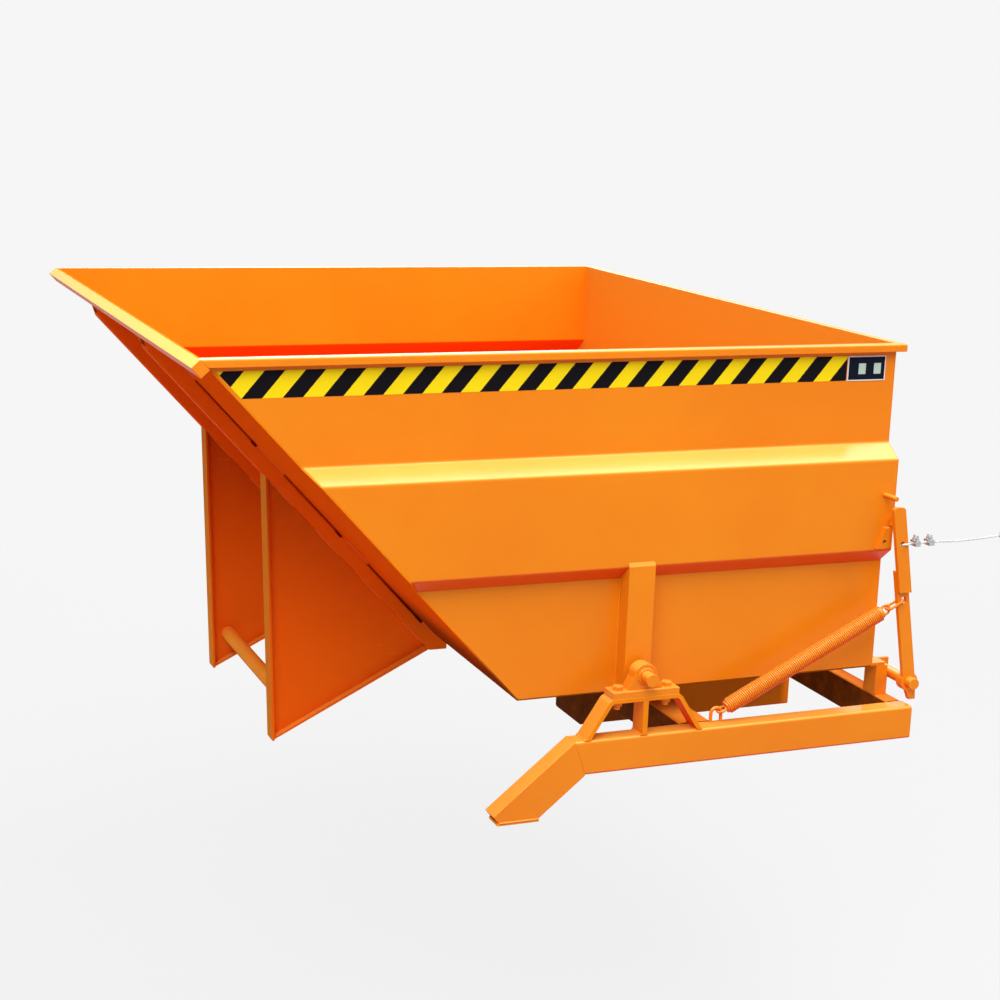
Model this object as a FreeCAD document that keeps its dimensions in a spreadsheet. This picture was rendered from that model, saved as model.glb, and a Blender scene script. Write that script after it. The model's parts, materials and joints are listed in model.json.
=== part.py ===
import FreeCAD, Part
import Sketcher
import math
import os
import re

# Tipping skip carried on lift-truck forks.
# Millimetres. +Z is up, -X is the pouring lip, +X is the fork side, -Y is the left of the driver.
# The origin is on the floor, in the middle of the footprint.

Vector = FreeCAD.Vector
doc = FreeCAD.newDocument("TippingSkip")

# Driving dimensions. Every reach is measured from the tipping axis.
sizes = {
    # the skip body
    "slope_top_reach": 992, "slope_foot_reach": 272, "rear_wall_reach": 656,
    "axle_up": 61, "sheet": 4, "upper_half": 858, "bulge_proud": 46, "lower_tuck": 39,
    "lower_tall": 268, "flare_tall": 32, "bulge_tall": 217, "shoulder_tall": 34, "upper_tall": 233,
    "rim_tall": 18, "rim_out": 20, "rim_round": 9, "rim_edge": 5,
    "lip_thick": 25, "lip_long": 30,
    # wall posts that carry the tipping shafts
    "post_wide": 65, "post_proud": 6, "post_wall": 6, "post_lap": 12, "post_cap": 9,
    # stiffening ribs, stand plates and reset bar under the slope
    "rib_half": 325, "rib_wide": 60, "rib_deep": 36, "rib_wall": 5, "rib_tail": 36, "rib_snipe": 25,
    "slit_first": 180, "slit_long": 215, "slit_step": 313, "slit_tall": 6,
    "plate_wall": 6, "plate_lean": 24, "plate_foot_reach": 681,
    "plate_foot": 8, "rib_drop": 43, "plate_flange": 50, "plate_lip": 40,
    "bar_diameter": 38, "bar_wall": 4, "bar_inset": 45, "bar_rise": 91,
    # under-frame
    "rail_clear": 96, "rail_tall": 80, "rail_wide": 50, "rail_wall": 4, "tube_round": 7,
    "rail_front_reach": 142, "rail_past": 55, "side_gap": 3,
    "leg_angle": 39, "leg_out": 218, "foot_thick": 6, "foot_inset": 10, "foot_length": 100,
    "front_beam_inset": 8, "front_beam_wide": 80, "rear_beam_wide": 41,
    "pocket_half": 249, "pocket_wide": 160, "pocket_wall": 6, "pocket_front_reach": 105,
    # tipping bearings
    "stand_thick": 10, "stand_rise": 90, "stand_top_half": 87, "stand_foot_half": 145,
    "stand_round": 20, "stand_post_thick": 13,
    "housing_long": 165, "housing_wide": 48, "housing_base": 15, "housing_rise": 45,
    "housing_radius": 29, "housing_hub_wide": 34, "housing_shoulder": 14, "insert_radius": 23,
    "insert_wide": 40, "shaft_radius": 15, "shaft_past": 26, "running_gap": 0.05,
    "bolt_spacing": 121, "bolt_radius": 7, "bolt_head_tall": 9, "bolt_key": 22, "bolt_past": 9,
    "nut_tall": 12, "bolt_gap": 0.4,
    # rests and latch
    "rest_wide": 50, "rest_inset": 27, "rest_long": 32, "rest_gap": 0.3, "tab_thick": 8, "tab_long": 38,
    "latch_back": 9, "latch_rise": 50, "latch_radius": 14, "latch_past": 8,
    "bracket_inset": 45, "bracket_thick": 10, "bracket_back": 25, "bracket_up": 22, "bracket_down": 60,
    "bracket_front": 20,
    "lever_thick": 12, "lever_inset": 6, "lever_wide": 33, "lever_lean": 77, "lever_head": 49,
    "lap_drop": 159, "lap_long": 51, "lever_tail": 44, "lever_tail_wide": 18,
    "hub_radius": 23, "nose_tall": 14, "nose_long": 20, "catch_up": 62, "nose_gap": 4.5, "nose_wide": 24,
    "lug_wide": 24, "lug_tall": 50, "lug_clear": 12, "lug_crown": 12, "lug_hole": 5,
    "pin_radius": 6, "pin_long": 50, "pin_inset": 31, "pin_rise": 134,
    # return spring of the latch
    "eye_gap": 55, "eye_wire": 4, "eye_half_wide": 13, "eye_tall": 37,
    "spring_wire": 2.2, "spring_radius": 16.8, "spring_pitch": 4.8,
    "ring_radius": 11, "ring_wire": 3, "plug_long": 16, "plug_gap": 0.3,
    "link_wire": 3.5, "link_half_long": 22, "anchor_drop": 21,
    "anchor_hole": 8, "hook_gap": 0.4, "hook_seat": 2,
    # release cable
    "cable_radius": 2.5, "cable_drop": 40, "cable_long": 290, "cable_hole": 6, "cable_bow": 9.5,
    "strand_gap": 0.6, "clip_long": 14, "clip_wide": 24, "clip_tall": 13, "clip_first": 40, "clip_step": 38,
    "clip_bolt_radius": 2.5, "clip_bolt_tall": 12, "clip_nut_radius": 4.5, "clip_nut_tall": 5,
    "clip_bolt_half": 6.5,
    "tail_past": 14, "ferrule_radius": 5, "ferrule_long": 26, "loop_radius": 14,
    # safety chain
    "chain_wire": 3, "chain_pitch": 42, "chain_half_wide": 8.2, "chain_gap": 0.3,
    "chain_half": 250, "chain_drop": 24, "chain_back": 16, "staple_wire": 4, "staple_half_tall": 18,
    "staple_round": 9,
    # signs
    "tape_wide": 57, "tape_thick": 0.5, "tape_drop": 10, "tape_stop": 132, "tape_inset": 6,
    "label_long": 102, "label_tall": 58, "label_thick": 1.5, "label_gap": 2,
    "overrun": 40,
}

sheet = doc.addObject("Spreadsheet::Sheet", "Dims")
for row, (alias, size) in enumerate(sizes.items(), 1):
    sheet.set(f"A{row}", alias)
    sheet.set(f"B{row}", str(size))
    sheet.setAlias(f"B{row}", alias)
doc.recompute()

# Places that follow from the driving dimensions, as expressions of them.
derived = {
    "lip_reach": "slope_top_reach + lip_thick * slope_tall / slope_long",
    "bulge_half": "upper_half + bulge_proud",
    "lower_half": "bulge_half - lower_tuck",
    "body_base": "pivot_z - axle_up",
    "lower_break": "body_base + lower_tall",
    "bulge_base": "lower_break + flare_tall",
    "bulge_top": "bulge_base + bulge_tall",
    "upper_break": "bulge_top + shoulder_tall",
    "rim_top": "upper_break + upper_tall",
    "post_top": "bulge_base + post_lap",
    "plate_top_reach": "plate_foot_reach + plate_lean",
    "plate_tail": "body_base - rib_drop",
    "bar_reach": "plate_foot_reach - bar_inset",
    "bar_height": "plate_foot + bar_rise",
    "rail_rear_reach": "rear_wall_reach + rail_past",
    "leg_reach": "rail_front_reach + leg_out",
    "foot_front_reach": "leg_reach - foot_inset",
    "front_beam_reach": "pocket_front_reach + front_beam_inset",
    "shaft_end_half": "rail_outer + shaft_past",
    "rest_half": "lower_half - rest_inset",
    "latch_reach": "rail_rear_reach + latch_back",
    "latch_end_half": "lever_face + latch_past",
    "bracket_half": "rest_half - bracket_inset",
    "lever_half": "rail_inner + lever_inset",
    "nose_rise": "bulge_base + catch_up - latch_z",
    "lever_rise": "nose_rise + lever_head",
    "lever_lap_low": "nose_rise - lap_drop",
    "lever_lap_high": "lever_lap_low + lap_long",
    "spring_anchor_rise": "lever_lap_low - anchor_drop",
    "cable_rise": "nose_rise - cable_drop",
    "lug_thick": "lever_outer - bulge_half - lug_clear",
    "pin_reach": "rear_wall_reach - pin_inset",
    "pin_height": "bulge_base + pin_rise",
    "eye_reach": "stand_foot_half + eye_gap",
    "tape_end_reach": "rear_wall_reach - tape_stop",
    "bracket_reach": "latch_reach + bracket_back",
    "pivot_x": "(lip_reach - bracket_reach) / 2",
    "rail_top": "rail_clear + rail_tall",
    "stand_top": "rail_top + stand_rise",
    "pivot_z": "stand_top + housing_rise",
    "rim_low": "rim_top - rim_tall",
    "plate_middle": "rib_half - plate_flange / 2",
    "rear_wall": "pivot_x + rear_wall_reach",
    "rear_wall_face": "rear_wall - sheet",
    "rim_half": "upper_half + rim_out",
    "post_face": "bulge_half + post_proud",
    "rail_inner": "post_face + side_gap",
    "rail_outer": "rail_inner + rail_wide",
    "rail_middle": "rail_inner + rail_wide / 2",
    "rail_rear": "pivot_x + rail_rear_reach",
    "slope_wide": "slope_top_reach - slope_foot_reach",
    "slope_tall": "rim_top - body_base",
    "slope_long": "sqrt(slope_wide ^ 2 + slope_tall ^ 2)",
    "slope_run": "sheet * slope_long / slope_tall",
    "across_x": "slope_tall / slope_long",
    "across_z": "slope_wide / slope_long",
    "rib_run": "rib_deep * slope_long / slope_tall",
    "latch_x": "pivot_x + latch_reach",
    "latch_z": "rail_top + latch_rise",
    "lever_outer": "lever_half + lever_thick",
    "lever_face": "lever_half + 2 * lever_thick",
    "beam_rear": "rail_rear",
    "beam_rear_front": "rail_rear - rear_beam_wide",
    "anchor_x": "latch_x - lever_lean * spring_anchor_rise / lever_rise",
    "anchor_z": "latch_z + spring_anchor_rise",
    "cable_x": "latch_x - lever_lean * cable_rise / lever_rise",
    "cable_z": "latch_z + cable_rise",
    "cable_y": "-(lever_outer + lever_thick / 2)",
    "chain_x": "rail_rear + chain_back",
    "chain_z": "rail_top - chain_drop",
}
word = re.compile(r"[a-z_]+[a-z]")


def ex(text):
    """Expression text with every name put in terms of the sheet."""
    def swap(found):
        name = found.group(0)
        if name in derived:
            return "(" + ex(derived[name]) + ")"
        return "Dims." + name if name in sizes else name
    return word.sub(swap, str(text))


probe = doc.addObject("App::FeaturePython", "Probe")
probe.addProperty("App::PropertyFloat", "Reading")


def val(text):
    """Number that an expression comes to."""
    probe.setExpression("Reading", ex(text))
    probe.recompute()
    return probe.Reading


def bind(piece, **places):
    """Ties properties of a piece to expressions; x, y and z are its place."""
    for name, text in places.items():
        path = "Placement.Base." + name if name in ("x", "y", "z") else name
        piece.setExpression(path, ex(text))
    return piece


parts = {}


def keep(label, piece):
    piece.Label = label
    parts[label] = piece
    return piece


def box(name, x, y, z):
    """Block between the two ends given for each axis."""
    piece = doc.addObject("Part::Box", name)
    return bind(piece, x=x[0], y=y[0], z=z[0], Length=f"({x[1]}) - ({x[0]})",
                Width=f"({y[1]}) - ({y[0]})", Height=f"({z[1]}) - ({z[0]})")


def rod(name, radius, x, y, z):
    """Round bar along Y; y holds its two ends."""
    piece = doc.addObject("Part::Cylinder", name)
    piece.Placement.Rotation = FreeCAD.Rotation(Vector(1, 0, 0), -90)
    return bind(piece, x=x, y=y[0], z=z, Radius=radius, Height=f"({y[1]}) - ({y[0]})")


def upright(name, radius, x, y, z):
    """Round bar along Z; z holds its two ends."""
    piece = doc.addObject("Part::Cylinder", name)
    return bind(piece, x=x, y=y, z=z[0], Radius=radius, Height=f"({z[1]}) - ({z[0]})")


def cut(name, base, *tools):
    for number, tool in enumerate(tools):
        piece = doc.addObject("Part::Cut", f"{name}_cut{number}")
        piece.Base = base
        piece.Tool = tool
        base = piece
    return base


def fuse(name, *pieces):
    piece = doc.addObject("Part::MultiFuse", name + "_joined")
    piece.Shapes = list(pieces)
    piece.Refine = True
    return piece


def group(name, pieces):
    """Separate solids that share one node."""
    piece = doc.addObject("Part::Compound", name + "_set")
    piece.Links = list(pieces)
    return piece


def plane(body, role):
    return next(face for face in body.Origin.OriginFeatures if face.Role == role)


def draw(body, role, *outlines):
    """Sketch of closed outlines whose corners are tied to expressions."""
    sketch = body.newObject("Sketcher::SketchObject", body.Name + "_sketch")
    sketch.AttachmentSupport = [(plane(body, role), "")]
    sketch.MapMode = "FlatFace"
    for corners in outlines:
        first = sketch.GeometryCount
        spots = [Vector(val(across), val(up), 0) for across, up in corners]
        count = len(spots)
        for number in range(count):
            sketch.addGeometry(Part.LineSegment(spots[number], spots[(number + 1) % count]))
        for number in range(count):
            here = first + number
            after = first + (number + 1) % count
            sketch.addConstraint(Sketcher.Constraint("Coincident", here, 2, after, 1))
        for number, (across, up) in enumerate(corners):
            spot = spots[number]
            for kind, text, place in (("DistanceX", across, spot.x), ("DistanceY", up, spot.y)):
                at = sketch.addConstraint(Sketcher.Constraint(kind, -1, 1, first + number, 1, place))
                sketch.setExpression(f"Constraints[{at}]", ex(text))
    return sketch


def pad(body, sketch, length):
    feature = body.newObject("PartDesign::Pad", body.Name + "_pad")
    feature.Profile = sketch
    sketch.Visibility = False
    return bind(feature, Length=length)


def plate(name, y, *outlines):
    """Outline in the side view, as thick as its two Y ends say."""
    body = doc.addObject("PartDesign::Body", name)
    pad(body, draw(body, "XZ_Plane", *outlines), f"({y[1]}) - ({y[0]})")
    return bind(body, y=y[1])


def profile(name, x, *outlines):
    """Outline in the end view, as long as its two X ends say."""
    body = doc.addObject("PartDesign::Body", name)
    pad(body, draw(body, "YZ_Plane", *outlines), f"({x[1]}) - ({x[0]})")
    return bind(body, x=x[0])


def round_off(body, axis, places, radius):
    """Rounds the edges along one axis that pass through the given places of the other two."""
    doc.recompute()
    tip = body.Tip
    names = []
    for number, edge in enumerate(tip.Shape.Edges, 1):
        ends = [body.Placement.multVec(vertex.Point) for vertex in edge.Vertexes]
        if len(ends) != 2 or abs((ends[1] - ends[0]).normalize()[axis]) < math.cos(math.radians(1)):
            continue
        flat = [ends[0][other] for other in range(3) if other != axis]
        for place in places:
            if math.dist(flat, [val(text) for text in place]) < val("sheet") / 10:
                names.append(f"Edge{number}")
    feature = body.newObject("PartDesign::Fillet", body.Name + "_round")
    feature.Base = (tip, names)
    return bind(feature, Radius=radius)


def sides():
    return (("left", -1), ("right", 1))


def span(side, inner, outer):
    """Y ends of a piece on one side, from its inner and outer half widths."""
    return (f"-({outer})", f"-({inner})") if side < 0 else (inner, outer)


def slope_x(z):
    return f"(pivot_x - slope_foot_reach - slope_wide * (({z}) - body_base) / slope_tall)"


def slope_spot(along, out):
    """Place a given way down the slope from its top edge, and out from its outer face."""
    z = f"(rim_top - ({along}) * across_x)"
    return (f"({slope_x(z)} - ({out}) * across_x)", f"({z} - ({out}) * across_z)")


# Skip body: panels
def wall_outline(side, low, inward="0"):
    """One wall's outer corners from the top down, drawn in by a given amount."""
    steps = (("upper_half", "rim_top"), ("upper_half", "upper_break"), ("bulge_half", "bulge_top"),
             ("bulge_half", "bulge_base"), ("lower_half", "lower_break"), ("lower_half", low))
    return [(f"{side} * ({half} - {inward})", z) for half, z in steps]


def whole_outline(low):
    return wall_outline(-1, low) + wall_outline(1, low)[::-1]


floor_top = "(body_base + sheet)"
for tag, side in sides():
    wall = profile("side_wall_" + tag, ("pivot_x - lip_reach", "rear_wall_face"),
                   wall_outline(side, floor_top) + wall_outline(side, floor_top, "sheet")[::-1])
    front = plate("slope_clear_" + tag, ("-bulge_half - overrun", "bulge_half + overrun"),
                  [(slope_x("body_base") + " + slope_run", "body_base"),
                   (slope_x("rim_top") + " + slope_run", "rim_top"),
                   ("pivot_x - lip_reach - overrun", "rim_top"),
                   ("pivot_x - lip_reach - overrun", "body_base")])
    keep("side_panel_" + tag, cut("side_panel_" + tag, wall, front))

slab = plate("slope_slab", ("-bulge_half - overrun", "bulge_half + overrun"),
             [(slope_x("body_base"), "body_base"), (slope_x("rim_top"), "rim_top"),
              (slope_x("rim_top") + " + slope_run", "rim_top"),
              (slope_x("body_base") + " + slope_run", "body_base")])
ends = profile("slope_ends", ("pivot_x - lip_reach - overrun", "rear_wall"), whole_outline("body_base"))
slope = doc.addObject("Part::Common", "slope_trimmed")
slope.Base = slab
slope.Tool = ends
keep("slope_panel", slope)
keep("bottom_panel", plate("bottom_sheet", ("-lower_half", "lower_half"),
     [(slope_x("body_base") + " + slope_run", "body_base"), ("rear_wall_face", "body_base"),
      ("rear_wall_face", floor_top), (slope_x(floor_top) + " + slope_run", floor_top)]))
keep("rear_panel", profile("rear_sheet", ("rear_wall_face", "rear_wall"), whole_outline("body_base")))

# Skip body: rim bars on the outside of the walls, and the lip bar on the slope's top edge
keep("rim_front", plate("rim_front_bar", ("-rim_half", "rim_half"), [
    slope_spot("0", "0"), slope_spot("0", "lip_thick"),
    slope_spot("lip_long", "lip_thick"), slope_spot("lip_long", "0")]))
rear_edge = "rear_wall + rim_out"
rear_bar = keep("rim_rear", plate("rim_rear_bar", ("-rim_half", "rim_half"), [
    ("rear_wall", "rim_low"), (rear_edge, "rim_low"), (rear_edge, "rim_top"), ("rear_wall", "rim_top")]))
round_off(rear_bar, 2, [(rear_edge, "-rim_half"), (rear_edge, "rim_half")], "rim_round")
round_off(rear_bar, 1, [(rear_edge, "rim_top")], "rim_edge")
for tag, side in sides():
    bar = keep("rim_" + tag, plate("rim_bar_" + tag, span(side, "upper_half", "rim_half"), [
        (slope_x("rim_low"), "rim_low"), ("rear_wall", "rim_low"), ("rear_wall", "rim_top"),
        (slope_x("rim_top"), "rim_top")]))
    round_off(bar, 0, [(f"{side} * rim_half", "rim_top")], "rim_edge")

# Skip body: posts on the lower walls, and the tipping shafts that they carry
flare = "(bulge_base - lower_break) / (bulge_half - lower_half)"
room_top = f"lower_break - post_wall + (post_face - post_wall - lower_half) * {flare}"
for tag, side in sides():
    inner = [(f"{side} * ({half})", z) for half, z in (
        ("post_face - post_wall", "body_base - overrun"), ("lower_half - overrun", "body_base - overrun"),
        ("lower_half - overrun", "lower_break - post_wall"), ("lower_half", "lower_break - post_wall"),
        ("post_face - post_wall", room_top))]
    outer = [(f"{side} * ({half})", z) for half, z in (
        ("post_face", "body_base"), ("lower_half", "body_base"), ("lower_half", "lower_break"),
        ("bulge_half", "bulge_base"), ("bulge_half", "post_top"), ("post_face", "post_top - post_cap"))]
    half = "post_wide / 2"
    channel = profile("post_channel_" + tag, ("pivot_x - " + half, "pivot_x + " + half), outer)
    hollow = profile("post_hollow_" + tag, ("pivot_x - post_wide / 2 + post_wall",
                     "pivot_x + post_wide / 2 - post_wall"), inner)
    seat = rod("post_seat_" + tag, "shaft_radius", "pivot_x", span(side, "lower_half", "post_face + overrun"),
               "pivot_z")
    keep("wall_post_" + tag, cut("wall_post_" + tag, channel, hollow, seat))
    keep("tipping_shaft_" + tag, rod("tipping_bar_" + tag, "shaft_radius", "pivot_x",
         span(side, "lower_half", "shaft_end_half"), "pivot_z"))

# Skip body: ribs along the slope, stand plates under them and the bar that joins the plates
rib_low = "(plate_tail)"


def under_rib(z):
    return slope_x(z) + " - rib_run"


def rib_outline(head, inset):
    """Side view of a rib below its head, with its web drawn up towards the slope by the inset."""
    run = f"rib_run - ({inset}) * slope_long / slope_tall"
    return head + [(slope_x(f"{rib_low} + {inset}") + f" - ({run})", f"{rib_low} + {inset}"),
                   (slope_x("body_base") + " + rib_tail", f"{rib_low} + {inset}"),
                   (slope_x("body_base") + " + rib_tail", "body_base"), (slope_x("body_base"), "body_base")]


plate_head = "(body_base + (plate_top_reach - slope_foot_reach - rib_run) * slope_tall / slope_wide)"
plate_tail_x = under_rib("plate_tail")
rib_head = [slope_spot("lip_long", "0"), slope_spot("lip_long", "lip_thick"),
            slope_spot("lip_long + rib_snipe", "rib_deep")]
room_head = [slope_spot("lip_long - overrun", "0"), slope_spot("lip_long - overrun", "rib_deep - rib_wall")]
slit_count = 3
for tag, side in sides():
    rib_y = span(side, "rib_half - rib_wide", "rib_half")
    rib = plate("rib_block_" + tag, rib_y, rib_outline(rib_head, "0"))
    room = plate("rib_room_" + tag, span(side, "rib_half - rib_wide + rib_wall", "rib_half - rib_wall"),
                 rib_outline(room_head, "rib_wall"))
    slits = []
    for number in range(slit_count):
        start = f"slit_first + {number} * slit_step"
        end = start + " + slit_long"
        slits.append(plate(f"rib_slit_{tag}_{number}", (rib_y[0] + " - overrun", rib_y[1] + " + overrun"), [
            slope_spot(start, "0"), slope_spot(start, "slit_tall"),
            slope_spot(end, "slit_tall"), slope_spot(end, "0")]))
    keep("slope_rib_" + tag, cut("slope_rib_" + tag, rib, room, *slits))

    top = ("pivot_x - plate_top_reach", plate_head)
    foot = ("pivot_x - plate_foot_reach", "plate_foot")
    tail = (plate_tail_x, "plate_tail")
    fall = "slope_tall / slope_wide"
    climb = f"(plate_tail - plate_foot) / ({plate_tail_x} - pivot_x + plate_foot_reach)"
    web_y = span(side, "plate_middle - plate_wall / 2", "plate_middle + plate_wall / 2")
    web = plate("plate_web_" + tag, web_y, [top, foot, tail])
    edge = plate("plate_front_" + tag, span(side, "rib_half - plate_flange", "rib_half"),
                 [top, foot, (foot[0] + " + plate_wall", f"plate_foot + plate_wall * {climb}"),
                  (top[0] + " + plate_wall", f"{plate_head} - plate_wall * {fall}")])
    lip_y = span(side, "plate_middle - plate_lip / 2", "plate_middle + plate_lip / 2")
    heel = (tail[0] + " - plate_wall * slope_wide / slope_tall", "plate_tail + plate_wall")
    lower = plate("plate_lower_" + tag, lip_y, [foot, tail, heel, (foot[0], "plate_foot + plate_wall")])
    keep("stand_plate_" + tag, fuse("stand_plate_" + tag, web, edge, lower))

bar_y = ("-plate_middle + plate_wall / 2", "plate_middle - plate_wall / 2")
bar = rod("reset_round", "bar_diameter / 2", "pivot_x - bar_reach", bar_y, "bar_height")
bar_room = rod("reset_room", "bar_diameter / 2 - bar_wall", "pivot_x - bar_reach", bar_y, "bar_height")
keep("reset_bar", cut("reset_bar", bar, bar_room))

# Skip body: signs on the walls
for tag, side in sides():
    low = "(rim_low - tape_drop - tape_wide)"
    high = "(rim_low - tape_drop)"
    face = span(side, "upper_half", "upper_half + tape_thick")
    keep("hazard_tape_" + tag, plate("tape_" + tag, face, [
        (slope_x(low) + " + slope_run + tape_inset", low), ("pivot_x + tape_end_reach", low),
        ("pivot_x + tape_end_reach", high), (slope_x(high) + " + slope_run + tape_inset", high)]))
sign_x = "pivot_x + tape_end_reach + label_gap"
sign_z = "rim_low - tape_drop"
keep("blank_label", box("label_plate", (sign_x, sign_x + " + label_long"),
     ("-upper_half - label_thick", "-upper_half"), (sign_z + " - label_tall", sign_z)))

# Under-frame: rails, legs and feet
for tag, side in sides():
    y = span(side, "rail_inner", "rail_outer")
    inside = span(side, "rail_inner + rail_wall", "rail_outer - rail_wall")
    mitre = "rail_tall * tan(leg_angle / 2)"
    front = "pivot_x - rail_front_reach"
    thin = "rail_wall * tan(leg_angle / 2)"
    rail = plate("rail_bar_" + tag, y, [
        (front, "rail_clear"), ("rail_rear", "rail_clear"), ("rail_rear", "rail_top"),
        (front + " - " + mitre, "rail_top")])
    round_off(rail, 0, [(edge, z) for edge in y for z in ("rail_clear", "rail_top")], "tube_round")
    hole = box("rail_hole_" + tag, (front + " - rail_tall", "rail_rear - rail_wall"), inside,
               ("rail_clear + rail_wall", "rail_top - rail_wall"))
    keep("rail_" + tag, cut("rail_" + tag, rail, hole))

    drop = "tan(leg_angle)"
    foot_top = "foot_thick"
    tip = "pivot_x - leg_reach"
    top_x = front + " - " + mitre
    tip_z = f"(rail_top - ({top_x} - ({tip})) * {drop})"
    toe_x = f"{tip} + ({tip_z} - {foot_top}) * {drop}"
    heel_x = f"{front} - (rail_clear - {foot_top}) / {drop}"
    leg = plate("leg_bar_" + tag, y, [
        (top_x, "rail_top"), (tip, tip_z), (toe_x, foot_top), (heel_x, foot_top), (front, "rail_clear")])
    skin = "rail_wall / cos(leg_angle)"
    leg_hole = plate("leg_hole_" + tag, inside, [
        (f"{top_x} + overrun", f"rail_top + overrun * {drop} - {skin}"),
        (f"{tip} - overrun", f"{tip_z} - overrun * {drop} - {skin}"),
        (f"{tip} - overrun", f"{tip_z} - overrun * {drop} - rail_tall / cos(leg_angle) + {skin}"),
        (f"{front} + overrun", f"rail_clear + overrun * {drop} + {skin}")])
    keep("leg_" + tag, cut("leg_" + tag, leg, leg_hole))
feet = [box("foot_" + tag, ("pivot_x - foot_front_reach", "pivot_x - foot_front_reach + foot_length"),
            span(side, "rail_inner", "rail_outer"), ("0", "foot_thick")) for tag, side in sides()]
keep("foot_plates", group("foot_plates", feet))

# Under-frame: cross beams and fork pockets
beam_y = ("-rail_inner", "rail_inner")


def hollow_beam(label, x):
    low, high = x
    beam = profile_across(label, x)
    room = box(label + "_room", (low + " + rail_wall", high + " - rail_wall"),
               ("-rail_inner - overrun", "rail_inner + overrun"),
               ("rail_clear + rail_wall", "rail_top - rail_wall"))
    return keep(label, cut(label, beam, room))


def profile_across(label, x):
    body = plate(label + "_bar", beam_y, [(x[0], "rail_clear"), (x[1], "rail_clear"),
                                          (x[1], "rail_top"), (x[0], "rail_top")])
    round_off(body, 1, [(edge, z) for edge in x for z in ("rail_clear", "rail_top")], "tube_round")
    return body


front_beam = "pivot_x + front_beam_reach"
hollow_beam("front_beam", (front_beam, front_beam + " + front_beam_wide"))
hollow_beam("rear_beam", ("beam_rear_front", "beam_rear"))
for tag, side in sides():
    x = ("pivot_x + pocket_front_reach", "rail_rear")
    y = span(side, "pocket_half", "pocket_half + pocket_wide")
    tube = profile("pocket_bar_" + tag, x, [(y[0], "0"), (y[1], "0"), (y[1], "rail_clear"),
                                            (y[0], "rail_clear")])
    round_off(tube, 0, [(edge, z) for edge in y for z in ("0", "rail_clear")], "tube_round")
    room = box("pocket_room_" + tag, (x[0] + " + pocket_wall", x[1] + " + overrun"),
               span(side, "pocket_half + pocket_wall", "pocket_half + pocket_wide - pocket_wall"),
               ("pocket_wall", "rail_clear - pocket_wall"))
    keep("fork_pocket_" + tag, cut("fork_pocket_" + tag, tube, room))

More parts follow.
